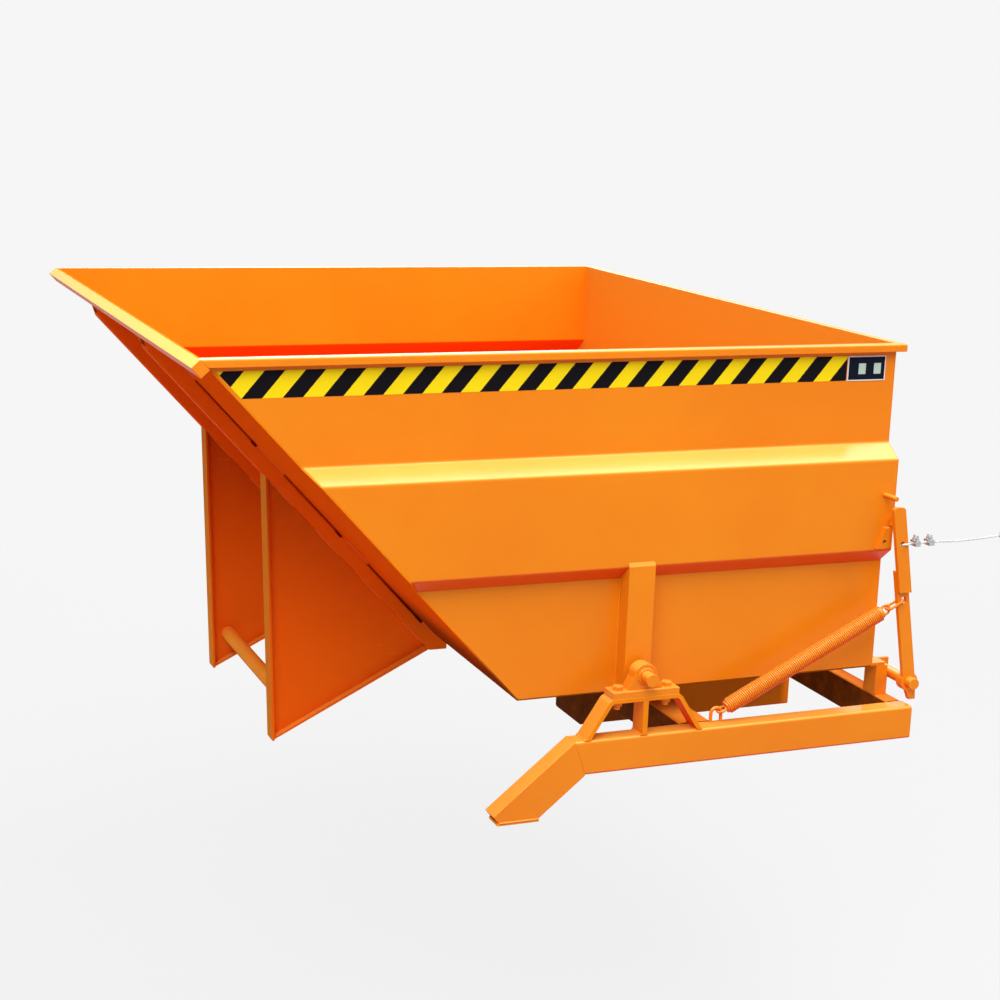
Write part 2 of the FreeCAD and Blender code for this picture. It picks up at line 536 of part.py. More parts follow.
# Tipping bearings: bent stands, their posts, housings, inserts and bolts
posts, bolts, nuts = [], [], []
for tag, side in sides():
    y = span(side, "rail_inner", "rail_outer")
    under = "stand_top - stand_thick"
    splay = "(stand_foot_half - stand_top_half)"
    lean = f"(stand_thick * (sqrt({splay} ^ 2 + stand_rise ^ 2)) / stand_rise)"
    neck = f"(stand_top_half + {splay} * stand_thick / stand_rise - {lean})"
    sole = f"(stand_foot_half - {lean})"
    outline = [("pivot_x - stand_foot_half", "rail_top"), ("pivot_x - stand_top_half", "stand_top"),
               ("pivot_x + stand_top_half", "stand_top"), ("pivot_x + stand_foot_half", "rail_top"),
               (f"pivot_x + {sole}", "rail_top"), (f"pivot_x + {neck}", under),
               (f"pivot_x - {neck}", under), (f"pivot_x - {sole}", "rail_top")]
    stand = plate("stand_bar_" + tag, y, outline)
    round_off(stand, 1, outline[1:3], "stand_round")
    round_off(stand, 1, outline[5:7], "stand_round - stand_thick")
    holes = [upright(f"stand_hole_{tag}_{end}", "bolt_radius + bolt_gap",
                     f"pivot_x + {end} * bolt_spacing / 2", f"{side} * rail_middle",
                     (under + " - overrun / 2", "stand_top + overrun / 2")) for end in (-1, 1)]
    keep("bearing_stand_" + tag, cut("bearing_stand_" + tag, stand, *holes))
    posts.append(box("stand_post_" + tag, y=y, z=("rail_top", under),
                     x=("pivot_x - stand_post_thick / 2", "pivot_x + stand_post_thick / 2")))

    def across(wide):
        return (f"{side} * rail_middle - {wide} / 2", f"{side} * rail_middle + {wide} / 2")

    foot = "stand_top + housing_base"
    rise = "pivot_z + housing_radius"
    shoulder = "(housing_radius + housing_shoulder)"
    base = box("housing_base_" + tag, ("pivot_x - housing_long / 2", "pivot_x + housing_long / 2"),
               across("housing_wide"), ("stand_top", foot))
    dome = rod("housing_dome_" + tag, "housing_radius", "pivot_x", across("housing_hub_wide"), "pivot_z")
    neck_block = plate("housing_neck_" + tag, across("housing_hub_wide"), [
        (f"pivot_x - {shoulder}", "stand_top"), (f"pivot_x + {shoulder}", "stand_top"),
        (f"pivot_x + {shoulder}", foot), ("pivot_x + housing_radius", "pivot_z"),
        ("pivot_x - housing_radius", "pivot_z"), (f"pivot_x - {shoulder}", foot)])
    bore = rod("housing_bore_" + tag, "insert_radius", "pivot_x", across("housing_wide + overrun"), "pivot_z")
    drills = [upright(f"housing_hole_{tag}_{end}", "bolt_radius + bolt_gap",
                      f"pivot_x + {end} * bolt_spacing / 2", f"{side} * rail_middle",
                      ("stand_top - overrun / 2", foot + " + overrun / 2")) for end in (-1, 1)]
    body = fuse("bearing_housing_" + tag, base, dome, neck_block)
    keep("bearing_housing_" + tag, cut("bearing_housing_" + tag, body, bore, *drills))

    ring = rod("insert_ring_" + tag, "insert_radius", "pivot_x", across("housing_hub_wide"), "pivot_z")
    collar = rod("insert_collar_" + tag, "(insert_radius + shaft_radius) / 2", "pivot_x",
                 across("insert_wide"), "pivot_z")
    eye = rod("insert_eye_" + tag, "shaft_radius + running_gap", "pivot_x", across("insert_wide + overrun"),
              "pivot_z")
    keep("bearing_insert_" + tag, cut("bearing_insert_" + tag, fuse("insert_" + tag, ring, collar), eye))

    for end in (-1, 1):
        spot = (f"pivot_x + {end} * bolt_spacing / 2", f"{side} * rail_middle")
        name = f"{tag}_{end + 1}"
        head = doc.addObject("Part::Prism", "bolt_head_" + name)
        bind(head, x=spot[0], y=spot[1], z=foot, Circumradius="bolt_key / sqrt(3)", Height="bolt_head_tall")
        shank = upright("bolt_shank_" + name, "bolt_radius", *spot, (under + " - nut_tall - bolt_past", foot))
        bolts.append(fuse("bolt_" + name, head, shank))
        nut = doc.addObject("Part::Prism", "nut_block_" + name)
        bind(nut, x=spot[0], y=spot[1], z=under + " - nut_tall", Circumradius="bolt_key / sqrt(3)",
             Height="nut_tall")
        thread = upright("nut_bore_" + name, "bolt_radius", *spot,
                         (under + " - nut_tall - overrun", under + " + overrun"))
        nuts.append(cut("nut_" + name, nut, thread))
keep("stand_posts", group("stand_posts", posts))
keep("bearing_bolts", group("bearing_bolts", bolts))
keep("bearing_nuts", group("bearing_nuts", nuts))

# Rests: blocks on the rear beam, and tabs on the skip that sit on them
rest_y = ("rest_half - rest_wide / 2", "rest_half + rest_wide / 2")
keep("rest_blocks", group("rest_blocks", [
    box("rest_block_" + tag, ("beam_rear_front", "beam_rear_front + rest_long"), span(side, *rest_y),
        ("rail_top", "body_base - rest_gap")) for tag, side in sides()]))
keep("rest_tabs", group("rest_tabs", [
    box("rest_tab_" + tag, ("rear_wall", "rear_wall + tab_long"), span(side, *rest_y),
        ("body_base", "body_base + tab_thick")) for tag, side in sides()]))

# Latch: cross shaft in two brackets, a lever at each end and the catches on the skip
back = "latch_x + bracket_back"
brackets = []
for tag, side in sides():
    y = span(side, "bracket_half", "bracket_half + bracket_thick")
    blade = plate("bracket_blade_" + tag, y, [
        ("rail_rear", "rail_top - bracket_down"), (back, "rail_top - bracket_down / 2"),
        (back, "latch_z + bracket_up"), ("rail_rear - bracket_front", "latch_z + bracket_up"),
        ("rail_rear - bracket_front", "rail_top"), ("rail_rear", "rail_top")])
    eye = rod("bracket_eye_" + tag, "latch_radius + running_gap", "latch_x",
              (y[0] + " - overrun", y[1] + " + overrun"), "latch_z")
    brackets.append(cut("bracket_" + tag, blade, eye))
keep("shaft_brackets", group("shaft_brackets", brackets))
keep("latch_shaft", rod("latch_bar", "latch_radius", "latch_x",
                        ("-latch_end_half", "latch_end_half"), "latch_z"))


def lever_x(rise):
    return f"(latch_x - lever_lean * ({rise}) / lever_rise)"


def lever_strip(low, high):
    ends = ((low, "-"), (low, "+"), (high, "+"), (high, "-"))
    return [(f"{lever_x(rise)} {way} lever_wide / 2", f"latch_z + {rise}") for rise, way in ends]


catch_top = "latch_z + nose_rise - nose_gap"
catch_x = lever_x("nose_rise")
for tag, side in sides():
    inner = span(side, "lever_half", "lever_outer")
    outer = span(side, "lever_outer", "lever_face")
    low_strip = plate("lever_low_" + tag, inner, lever_strip("0", "lever_lap_high"))
    high_strip = plate("lever_high_" + tag, outer, lever_strip("lever_lap_low", "lever_rise"))
    round_off(high_strip, 1, lever_strip("lever_lap_low", "lever_rise")[2:], "lever_wide / 3")
    low_end = "latch_z - lever_tail"
    tail = plate("lever_tail_" + tag, inner, [
        ("latch_x - lever_wide / 2", "latch_z"), ("latch_x - lever_tail_wide / 2 + lever_tail / 4", low_end),
        ("latch_x + lever_tail_wide / 2 + lever_tail / 4", low_end), ("latch_x + lever_wide / 2", "latch_z")])
    hub = rod("lever_hub_" + tag, "hub_radius", "latch_x",
              span(side, "lever_half - lever_thick", "lever_outer"), "latch_z")
    nose_low = "latch_z + nose_rise"
    nose = plate("lever_nose_" + tag, span(side, "lever_outer - nose_wide", "lever_outer"), [
        (catch_x + " - nose_long / 2", nose_low), (catch_x + " + nose_long / 2", nose_low),
        (catch_x + " + nose_long / 2", nose_low + " + nose_tall"),
        (catch_x + " - nose_long / 4", nose_low + " + nose_tall")])
    through = span(side, "lever_half - overrun", "lever_face + overrun")
    eye = rod("lever_eye_" + tag, "latch_radius", "latch_x", through, "latch_z")
    hook_hole = rod("lever_anchor_" + tag, "anchor_hole", "anchor_x", through, "anchor_z")
    body = fuse("latch_lever_" + tag, low_strip, high_strip, tail, hub, nose)
    cable_eye = rod("lever_cable_" + tag, "cable_hole", "cable_x", through, "cable_z")
    keep("latch_lever_" + tag, cut("latch_lever_" + tag, body, eye, hook_hole, cable_eye))

    y = span(side, "bulge_half", "bulge_half + lug_thick")
    crown = f"({catch_x} - nose_long / 2 - lug_crown / 2 - nose_gap)"
    lug = plate("lug_block_" + tag, y, [
        (f"{crown} - lug_wide", f"{catch_top} - lug_tall"),
        (f"{crown} + lug_crown / 2", f"{catch_top} - lug_tall"),
        (f"{crown} + lug_crown / 2", catch_top), (f"{crown} - lug_crown / 2", catch_top)])
    lug_eye = rod("lug_eye_" + tag, "lug_hole", f"{crown} - lug_crown / 2",
                  (y[0] + " - overrun", y[1] + " + overrun"), f"{catch_top} - lug_tall * 2 / 3")
    keep("catch_lug_" + tag, cut("catch_lug_" + tag, lug, lug_eye))
keep("stop_pins", group("stop_pins", [
    rod("stop_pin_" + tag, "pin_radius", "pivot_x + pin_reach",
        span(side, "bulge_half", "bulge_half + pin_long"), "pin_height") for tag, side in sides()]))


# Round wire along lines and arcs
def solid_piece(name, shape):
    piece = doc.addObject("Part::Feature", name)
    piece.Shape = shape
    return piece


def tube_along(edges, radius, closed=False):
    """Round wire along edges laid end to end."""
    wire = Part.Wire(edges)
    start = edges[0].Curve.value(edges[0].FirstParameter)
    ahead = edges[0].tangentAt(edges[0].FirstParameter)
    ring = Part.Wire([Part.Circle(start, ahead, radius).toShape()])
    shell = Part.BRepOffsetAPI.MakePipeShell(wire)
    shell.add(ring)
    shell.build()
    if not closed:
        shell.makeSolid()
        return shell.shape()
    return Part.Solid(Part.Shell(shell.shape().Faces))


def line(start, end):
    return Part.LineSegment(start, end).toShape()


def arc(start, through, end):
    return Part.Arc(start, through, end).toShape()


def oval(centre, along, across, half_long, half_wide):
    """Closed edges of a link: two straight sides and two half circles."""
    reach = half_long - half_wide
    corners = {(a, b): centre + along * (a * reach) + across * (b * half_wide)
               for a in (-1, 1) for b in (-1, 1)}
    middle = centre + across * half_wide
    return [line(middle, corners[1, 1]),
            arc(corners[1, 1], centre + along * half_long, corners[1, -1]),
            line(corners[1, -1], corners[-1, -1]),
            arc(corners[-1, -1], centre - along * half_long, corners[-1, 1]),
            line(corners[-1, 1], middle)]


def link_solid(centre, along, across, half_long, half_wide, wire):
    """A welded link, joined from two half sweeps that meet face to face."""
    edges = oval(centre, along, across, half_long, half_wide)
    back_middle = centre - across * half_wide
    reach = half_long - half_wide
    first = [edges[0], edges[1], line(centre + along * reach - across * half_wide, back_middle)]
    second = [line(back_middle, centre - along * reach - across * half_wide), edges[3], edges[4]]
    return tube_along(first, wire).fuse(tube_along(second, wire)).removeSplitter()


# Return spring between the left rail and the left lever
spring_y = val("-(lever_half + lever_thick / 2)")
eye_x = val("pivot_x + eye_reach")
rail_top = val("rail_top")
eye_half = val("eye_half_wide")
eye_middle = rail_top + val("eye_tall - eye_wire") - eye_half


def eye_spot(across, up):
    return Vector(eye_x + across * eye_half, spring_y, up)


eye_edges = [line(eye_spot(-1, rail_top), eye_spot(-1, eye_middle)),
             arc(eye_spot(-1, eye_middle), eye_spot(0, eye_middle + eye_half), eye_spot(1, eye_middle)),
             line(eye_spot(1, eye_middle), eye_spot(1, rail_top))]
keep("spring_eye", solid_piece("spring_eye_shape", tube_along(eye_edges, val("eye_wire"))))

eye_centre = eye_spot(0, eye_middle)
anchor = Vector(val("anchor_x"), spring_y, val("anchor_z"))
pull = (anchor - eye_centre).normalize()
sideways = Vector(0, 1, 0)
upward = pull.cross(sideways)
ring_radius = val("ring_radius")
ring_wire = val("ring_wire")
hook_gap = val("hook_gap")
link_wire = val("link_wire")
link_long = val("link_half_long")
low_ring = eye_centre + pull * (eye_half - val("eye_wire") - hook_gap - ring_wire + ring_radius)
link_far = anchor - pull * val("hook_seat")
link_near = link_far - pull * (2 * link_long)
high_ring = link_near - pull * (ring_radius - ring_wire - link_wire - hook_gap)
coil_start = low_ring + pull * (ring_radius + ring_wire)
coil_end = high_ring - pull * (ring_radius + ring_wire)
coil_long = (coil_end - coil_start).Length
turns = math.floor(coil_long / val("spring_pitch"))
pitch = coil_long / turns


def spring_end(label, ring_centre, ring_axis, coil_face, inward):
    """A plug inside the end coils with a ring on its face."""
    ring = Part.makeTorus(ring_radius, ring_wire, ring_centre, ring_axis)
    radius = val("spring_radius - spring_wire - plug_gap")
    plug = Part.makeCylinder(radius, val("plug_long") + ring_wire, coil_face - inward * ring_wire, inward)
    keep(label, solid_piece(label + "_shape", ring.fuse(plug).removeSplitter()))


spring_end("spring_end_low", low_ring, upward, coil_start, pull)
spring_end("spring_end_high", high_ring, sideways, coil_end, pull * -1)


def helix_point(turn):
    angle = 2 * math.pi * turn
    radius = val("spring_radius")
    return (coil_start + pull * (val("spring_wire") + turn * pitch)
            + upward * (radius * math.cos(angle)) + sideways * (radius * math.sin(angle)))


def helix_heading(turn):
    angle = 2 * math.pi * turn
    radius = val("spring_radius")
    heading = (pull * (pitch / (2 * math.pi))
               - upward * (radius * math.sin(angle)) + sideways * (radius * math.cos(angle)))
    return heading.normalize()


def tangent_arc(start, control, end):
    """Arc that leaves start and reaches end along the lines through the control point."""
    middle = (start + end) * 0.5
    half_chord = (end - start).Length / 2
    lean_angle = math.acos(half_chord / (control - start).Length)
    rise = half_chord * math.tan(lean_angle / 2)
    return arc(start, middle + (control - middle).normalize() * rise, end)


def biarc(start, heading, end, end_heading):
    chord = end - start
    both = heading + end_heading
    spread = 2 * (1 - heading.dot(end_heading))
    reach = (math.sqrt(chord.dot(both) ** 2 + spread * chord.dot(chord)) - chord.dot(both)) / spread
    near = start + heading * reach
    far = end - end_heading * reach
    middle = (near + far) * 0.5
    return [tangent_arc(start, near, middle), tangent_arc(middle, far, end)]


wire_radius = val("spring_wire")
coils = turns - 1
steps_per_turn = 2
stops = [step / steps_per_turn for step in range(coils * steps_per_turn + 1)]
spots = [helix_point(stop) for stop in stops]
ways = [helix_heading(stop) for stop in stops]
coil_edges = [line(spots[0] - ways[0] * (2 * wire_radius), spots[0])]
for number in range(len(stops) - 1):
    coil_edges += biarc(spots[number], ways[number], spots[number + 1], ways[number + 1])
coil_edges.append(line(spots[-1], spots[-1] + ways[-1] * (2 * wire_radius)))
keep("return_spring", solid_piece("spring_coil", tube_along(coil_edges, wire_radius)))

samples = [spot for edge in coil_edges for spot in edge.discretize(6)[:-1]]
per_turn = 2 * steps_per_turn * 5
gaps = []
for number in range(0, min(len(samples), 3 * per_turn)):
    others = samples[number + per_turn // 2:number + 2 * per_turn]
    gaps += [(samples[number] - other).Length for other in others]
print("least gap of the spring to itself", round(min(gaps) - 2 * wire_radius, 3))

# Link between the spring's upper ring and the lever
link_mid = (link_near + link_far) * 0.5
link_half = val("lever_thick / 2 + hook_gap") + link_wire
keep("spring_link", solid_piece("spring_link_shape", link_solid(
    link_mid, pull, sideways, link_long, link_half, link_wire)))


def cord_edges(route, limit):
    """Straight runs joined by tangent arcs, each as large as its two runs allow."""
    edges = []
    radii = []
    here = route[0]
    for before, corner, after in zip(route, route[1:], route[2:]):
        one = before - corner
        two = after - corner
        turn = math.pi - one.getAngle(two)
        trim = min(0.45 * min(one.Length, two.Length), limit * math.tan(turn / 2))
        start = corner + one.normalize() * trim
        end = corner + two.normalize() * trim
        radii.append(round(trim / math.tan(turn / 2), 1))
        edges.append(line(here, start))
        edges.append(tangent_arc(start, corner, end))
        here = end
    edges.append(line(here, route[-1]))
    return edges, radii


# Release cable of the left lever: a loop through the lever, two clips and an end eye
cable_radius = val("cable_radius")
cable_long = val("cable_long")
bow = val("cable_bow")
strand = cable_radius + val("strand_gap / 2")
clip_first = val("clip_first")
clip_step = val("clip_step")
clip_long = val("clip_long")


def cable_spot(along, out, up=0):
    return Vector(val("cable_x") + along, val("cable_y") - out, val("cable_z") + up)


sag_shares = ((0.5, -0.006), (0.68, -0.003), (0.84, 0.006), (1.0, 0.021))
cable_route = [cable_spot(clip_first + clip_step + clip_long / 2 + val("tail_past"), -strand),
               cable_spot(clip_first - clip_long, -strand), cable_spot(val("lever_wide") / 2, -bow),
               cable_spot(0, -bow), cable_spot(0, bow), cable_spot(val("lever_wide") / 2, bow),
               cable_spot(clip_first - clip_long, strand)]
cable_route.append(cable_spot(clip_first + clip_step + clip_long, strand))
cable_route += [cable_spot(share * cable_long, strand, drop * cable_long) for share, drop in sag_shares]
edges, radii = cord_edges(cable_route, cable_long)
cable = tube_along(edges, cable_radius)
cable_run = sum(edge.Length for edge in edges)
print("cable radii", radii, "length", round(cable_run, 1),
      "volume share", round(cable.Volume / (math.pi * cable_radius ** 2 * cable_run), 4))
keep("release_cable", solid_piece("cable_tube", cable))

clips = []
clip_bore = cable_radius + val("running_gap")
for number in range(2):
    middle = clip_first + number * clip_step
    size = Vector(clip_long, val("clip_wide"), val("clip_tall"))
    corner = cable_spot(middle - clip_long / 2, size.y / 2, -size.z / 2)
    clip = Part.makeBox(size.x, size.y, size.z, corner)
    for side in (-1, 1):
        foot = cable_spot(middle, side * val("clip_bolt_half"), size.z / 2)
        clip = clip.fuse(Part.makeCylinder(val("clip_nut_radius"), val("clip_nut_tall"), foot))
        clip = clip.fuse(Part.makeCylinder(val("clip_bolt_radius"), val("clip_bolt_tall"), foot))
    for side in (-1, 1):
        start = cable_spot(middle - clip_long, side * strand)
        clip = clip.cut(Part.makeCylinder(clip_bore, 2 * clip_long, start, Vector(1, 0, 0)))
    clips.append(clip.removeSplitter())
keep("cable_clips", solid_piece("cable_clip_pair", Part.makeCompound(clips)))

end_way = (cable_route[-1] - cable_route[-2]).normalize()
ferrule_long = val("ferrule_long")
ferrule_start = cable_route[-1] - end_way * (ferrule_long / 2)
ferrule = Part.makeCylinder(val("ferrule_radius"), ferrule_long, ferrule_start, end_way)
loop_radius = val("loop_radius")
loop_spot = cable_route[-1] + end_way * (ferrule_long / 2 + loop_radius - cable_radius)
loop = Part.makeTorus(loop_radius, cable_radius, loop_spot, sideways)
cable_end = ferrule.fuse(loop).cut(Part.makeCylinder(cable_radius, ferrule_long / 2, ferrule_start, end_way))
keep("cable_end", solid_piece("cable_end_shape", cable_end.removeSplitter()))

# Safety chain, kept on two staples on the rear beam
chain_x = val("chain_x")
chain_z = val("chain_z")
chain_half = val("chain_half")
staple_wire = val("staple_wire")
staple_tall = val("staple_half_tall")
staples = []
for side in (-1, 1):
    route = [Vector(x, side * chain_half, chain_z + up * staple_tall)
             for x, up in ((val("rail_rear"), -1), (chain_x, -1), (chain_x, 1), (val("rail_rear"), 1))]
    staples.append(tube_along(cord_edges(route, val("staple_round"))[0], staple_wire))
keep("chain_staples", solid_piece("chain_staple_pair", Part.makeCompound(staples)))

wire = val("chain_wire")
pitch = val("chain_pitch")
step = val("chain_pitch - chain_gap")
slack_share = 1.06
count = 2 * math.floor(slack_share * chain_half / pitch) + 1


def headings(turn):
    return [turn * (number - (count - 1) / 2) for number in range(count)]


def first_reach(angle):
    """From a staple's rod to the middle of the link that hangs on it."""
    return pitch / 2 + wire - (wire + staple_wire + val("chain_gap")) / math.cos(angle)


def reaches(turn):
    ways = headings(turn)
    outer = first_reach(ways[0]) + step / 2
    return [outer] + [step] * (count - 2) + [outer], ways


def chain_span(turn):
    lengths, ways = reaches(turn)
    return sum(length * math.cos(way) for length, way in zip(lengths, ways))


low_turn, high_turn = 0, math.pi / (2 * count)
for attempt in range(60):
    turn = (low_turn + high_turn) / 2
    if chain_span(turn) > 2 * chain_half:
        low_turn = turn
    else:
        high_turn = turn
lengths, ways = reaches(turn)
links = []
joint = Vector(chain_x, -chain_half, chain_z)
for number, (length, way) in enumerate(zip(lengths, ways)):
    along = Vector(0, math.cos(way), math.sin(way))
    flat = number % 2 == 0
    across = Vector(1, 0, 0) if flat else Vector(1, 0, 0).cross(along)
    middle = joint + along * (step / 2)
    if number == 0:
        middle = joint + along * (length - step / 2)
    links.append(link_solid(middle, along, across, pitch / 2 + wire, val("chain_half_wide"), wire))
    joint = joint + along * length
print("chain ends at", round(joint.y, 2), round(joint.z - chain_z, 3), "with", count, "links")
keep("safety_chain", solid_piece("safety_chain_links", Part.makeCompound(links)))

doc.recompute()
failed = [piece.Name for piece in doc.Objects if {"Invalid", "Error"} & set(piece.State)]
if failed:
    raise RuntimeError(f"failed pieces: {failed}")
os.makedirs("parts", exist_ok=True)
for label, piece in parts.items():
    shape = piece.Shape
    if shape.isNull() or not shape.isValid() or not shape.Solids:
        raise RuntimeError(f"bad shape: {label}")
    shape.exportStep(f"parts/{label}.step")
print(len(parts), "pieces written")
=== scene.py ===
import json
import math

import bmesh
import bpy
from mathutils import Matrix, Vector


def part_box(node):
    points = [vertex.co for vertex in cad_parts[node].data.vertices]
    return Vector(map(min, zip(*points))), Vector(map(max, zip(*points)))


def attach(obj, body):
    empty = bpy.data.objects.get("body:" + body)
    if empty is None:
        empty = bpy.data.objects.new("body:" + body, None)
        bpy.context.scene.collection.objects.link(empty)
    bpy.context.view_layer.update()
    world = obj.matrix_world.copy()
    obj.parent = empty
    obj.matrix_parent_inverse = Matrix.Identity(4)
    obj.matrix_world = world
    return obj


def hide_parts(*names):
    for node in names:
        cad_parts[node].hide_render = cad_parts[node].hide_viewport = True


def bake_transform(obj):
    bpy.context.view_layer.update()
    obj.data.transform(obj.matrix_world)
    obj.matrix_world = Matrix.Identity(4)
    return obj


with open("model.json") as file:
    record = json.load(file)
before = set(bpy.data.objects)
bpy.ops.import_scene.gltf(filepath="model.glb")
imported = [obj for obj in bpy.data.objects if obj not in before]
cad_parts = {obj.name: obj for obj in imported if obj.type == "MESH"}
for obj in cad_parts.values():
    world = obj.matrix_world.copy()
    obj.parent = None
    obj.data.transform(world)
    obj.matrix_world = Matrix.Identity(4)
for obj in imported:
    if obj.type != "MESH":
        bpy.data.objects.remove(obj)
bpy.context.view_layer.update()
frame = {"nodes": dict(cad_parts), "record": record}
nodes = frame["nodes"]
bodies = frame["record"]["behaviour"]["bodies"]
bodyOf = {node: body for body, members in bodies.items() for node in members}
slotOf = {row["node"]: row["material_slot"] for row in frame["record"]["subparts"]}
scene = bpy.context.scene
mm = 0.001  # the frame is in metres
print("frame loaded:", len(nodes), "nodes")


# Camera at the photograph's viewing angle
cameraSetup = {
    "place": (-1.7190, -4.5158, 1.5975),
    "yaw": 0.3946, "pitch": -0.2203, "roll": 0.0370,
    "lens": 67.548, "sensor": 36.0, "clipEnd": 60.0,
}


def makeCamera(setup):
    yaw, pitch, roll = setup["yaw"], setup["pitch"], setup["roll"]
    forward = Vector((math.sin(yaw) * math.cos(pitch), math.cos(yaw) * math.cos(pitch), math.sin(pitch)))
    level = Vector((math.cos(yaw), -math.sin(yaw), 0))
    above = level.cross(forward)
    right = level * math.cos(roll) + above * math.sin(roll)
    up = above * math.cos(roll) - level * math.sin(roll)
    data = bpy.data.cameras.new("photoCamera")
    data.sensor_width = setup["sensor"]
    data.lens = setup["lens"]
    data.clip_end = setup["clipEnd"]
    camera = bpy.data.objects.new("photoCamera", data)
    scene.collection.objects.link(camera)
    turn = Matrix((right, up, -forward)).transposed().to_4x4()
    camera.matrix_world = Matrix.Translation(setup["place"]) @ turn
    scene.camera = camera


makeCamera(cameraSetup)
scene.view_settings.view_transform = "Standard"
print("camera set")


# A shader socket that takes part in Python sums
class Field:
    def __init__(self, book, socket):
        self.book = book
        self.socket = socket

    def sum(self, operation, first, second):
        return self.book.node("ShaderNodeMath", {"operation": operation}, {0: first, 1: second})

    def __add__(self, other):
        return self.sum("ADD", self, other)

    def __radd__(self, other):
        return self.sum("ADD", other, self)

    def __sub__(self, other):
        return self.sum("SUBTRACT", self, other)

    def __rsub__(self, other):
        return self.sum("SUBTRACT", other, self)

    def __mul__(self, other):
        return self.sum("MULTIPLY", self, other)

    def __rmul__(self, other):
        return self.sum("MULTIPLY", other, self)

    def __truediv__(self, other):
        return self.sum("DIVIDE", self, other)

    def __rtruediv__(self, other):
        return self.sum("DIVIDE", other, self)

    def __gt__(self, other):
        return self.sum("GREATER_THAN", self, other)

    def __lt__(self, other):
        return self.sum("LESS_THAN", self, other)

    def larger(self, other):
        return self.sum("MAXIMUM", self, other)

    def part(self):
        return self.book.node("ShaderNodeMath", {"operation": "FRACT"}, {0: self})

    def size(self):
        return self.book.node("ShaderNodeMath", {"operation": "ABSOLUTE"}, {0: self})

    def root(self):
        return self.book.node("ShaderNodeMath", {"operation": "SQRT"}, {0: self})

    def ease(self, low, high):
        settings = {"interpolation_type": "SMOOTHSTEP"}
        return self.book.node("ShaderNodeMapRange", settings, {0: self, 1: low, 2: high, 3: 0.0, 4: 1.0})


# The nodes of one material or sky
class NodeBook:
    def __init__(self, owner):
        owner.use_nodes = True
        self.owner = owner
        self.tree = owner.node_tree
        self.tree.nodes.clear()

    def node(self, kind, settings=None, inputs=None, output=0):
        made = self.tree.nodes.new(kind)
        for name, value in (settings or {}).items():
            setattr(made, name, value)
        for name, value in (inputs or {}).items():
            if isinstance(value, Field):
                self.tree.links.new(value.socket, made.inputs[name])
            else:
                made.inputs[name].default_value = value
        return Field(self, made.outputs[output] if made.outputs else None)

    def place(self):
        return self.node("ShaderNodeTexCoord", output="Object")

    def facing(self):
        return self.node("ShaderNodeTexCoord", output="Normal")

    def axes(self, vector):
        split = self.node("ShaderNodeSeparateXYZ", inputs={0: vector}).socket.node
        return [Field(self, split.outputs[axis]) for axis in range(3)]

    def stretch(self, vector, scale, turn=(0, 0, 0)):
        return self.node("ShaderNodeMapping", inputs={"Vector": vector, "Rotation": turn, "Scale": scale})

    def noise(self, vector, scale, detail=3.0, rough=0.55, bend=0.0):
        return self.node("ShaderNodeTexNoise", inputs={
            "Vector": vector, "Scale": scale, "Detail": detail, "Roughness": rough, "Distortion": bend})

    def blend(self, factor, first, second):
        return self.node("ShaderNodeMix", {"data_type": "RGBA"}, {0: factor, 6: first, 7: second}, output=2)

    def bump(self, height, strength, distance, normal=None):
        inputs = {"Height": height, "Strength": strength, "Distance": distance}
        if normal is not None:
            inputs["Normal"] = normal
        return self.node("ShaderNodeBump", inputs=inputs)

    def close(self, shader):
        self.node("ShaderNodeOutputMaterial", inputs={"Surface": shader})
        return self.owner


def newBook(name):
    return NodeBook(bpy.data.materials.new(name))


# Orange paint: sprayed coat with orange peel, faint tone clouds, rub marks and floor dust.
# Upward faces get a painted highlight, downward faces painted shade; some kinds add painted shadow and tones
# of painted light. Each noise is its scale, detail, roughness and bend.
paintLook = {
    "colour": (0.83, 0.232, 0.005, 1), "cloud": (0.80, 0.204, 0.004, 1), "inside": None,
    "cloudNoise": (1.7, 4.0, 0.6), "cloudEdge": (0.32, 0.70), "insideEdge": (0.5, 0.9),
    # painted highlight: a paler colour blended on upward faces in place of the light on them, scaled by the
    # share that follows
    "paintedHighlight": (0.95, 0.42, 0.060, 1), "blendShare": 1.0, "highlightEven": 0.55, "highlightCloudy": 0.4,
    "upEdge": (0.30, 0.75), "outerHighlight": False,
    # painted shade: a deeper red blended on downward faces, and over a whole piece by its share
    "under": (0.82, 0.072, 0.002, 1), "paintedShadeShare": 0.0, "downEdge": (0.08, 0.45),
    "webOnly": False, "webEdge": (0.3, 0.8),
    # painted shadow: a near-black brown darkening pieces where they stand in shade, patchy with fine noise
    "paintedShadow": (0.026, 0.008, 0.004, 1), "paintedShadowAmount": 0.0, "paintedShadowEven": 0.75, "paintedShadowPatchy": 0.5,
    "paintedShadowEnd": (0.815, 0.838), "paintedShadowRise": None, "paintedShadowRun": None, "paintedShadowRunFade": 0.5,
    "rub": (0.90, 0.31, 0.04, 1), "rubAmount": 0.5,
    "rubNoise": (5.2, 5.0, 0.62, 0.4), "rubEdge": (0.60, 0.74), "lineStretch": (34, 34, 210),
    "lineTurn": (0.2, 0.5, 0), "lineNoise": (1.0, 3.0), "lineEdge": (0.60, 0.70),
    "dust": (0.42, 0.20, 0.075, 1), "dustAmount": 0.06, "dustTop": 0.16, "dustEdge": (0.36, 0.72),
    "fineNoise": (26.0, 5.0, 0.65),
    "waveNoise": (3.1, 2.0, 0.45), "waveBump": (0.10, 0.006),
    "peelNoise": (480.0, 2.0, 0.5), "peelBump": (0.10, 0.0006),
    "gloss": 1.0, "rough": 0.36, "mattRough": 0.3, "fineRough": 0.10, "rubRough": 0.22, "dustRough": 0.5,
    "specular": 0.14, "coat": 1.0, "wallCoat": 0.22, "coatRough": 0.14, "coatIor": 1.38,
}
# painted shade colour for ribs, plates and the slope: a deeper red standing in for shade
paintedShadeRed = (0.93, 0.092, 0.003, 1)
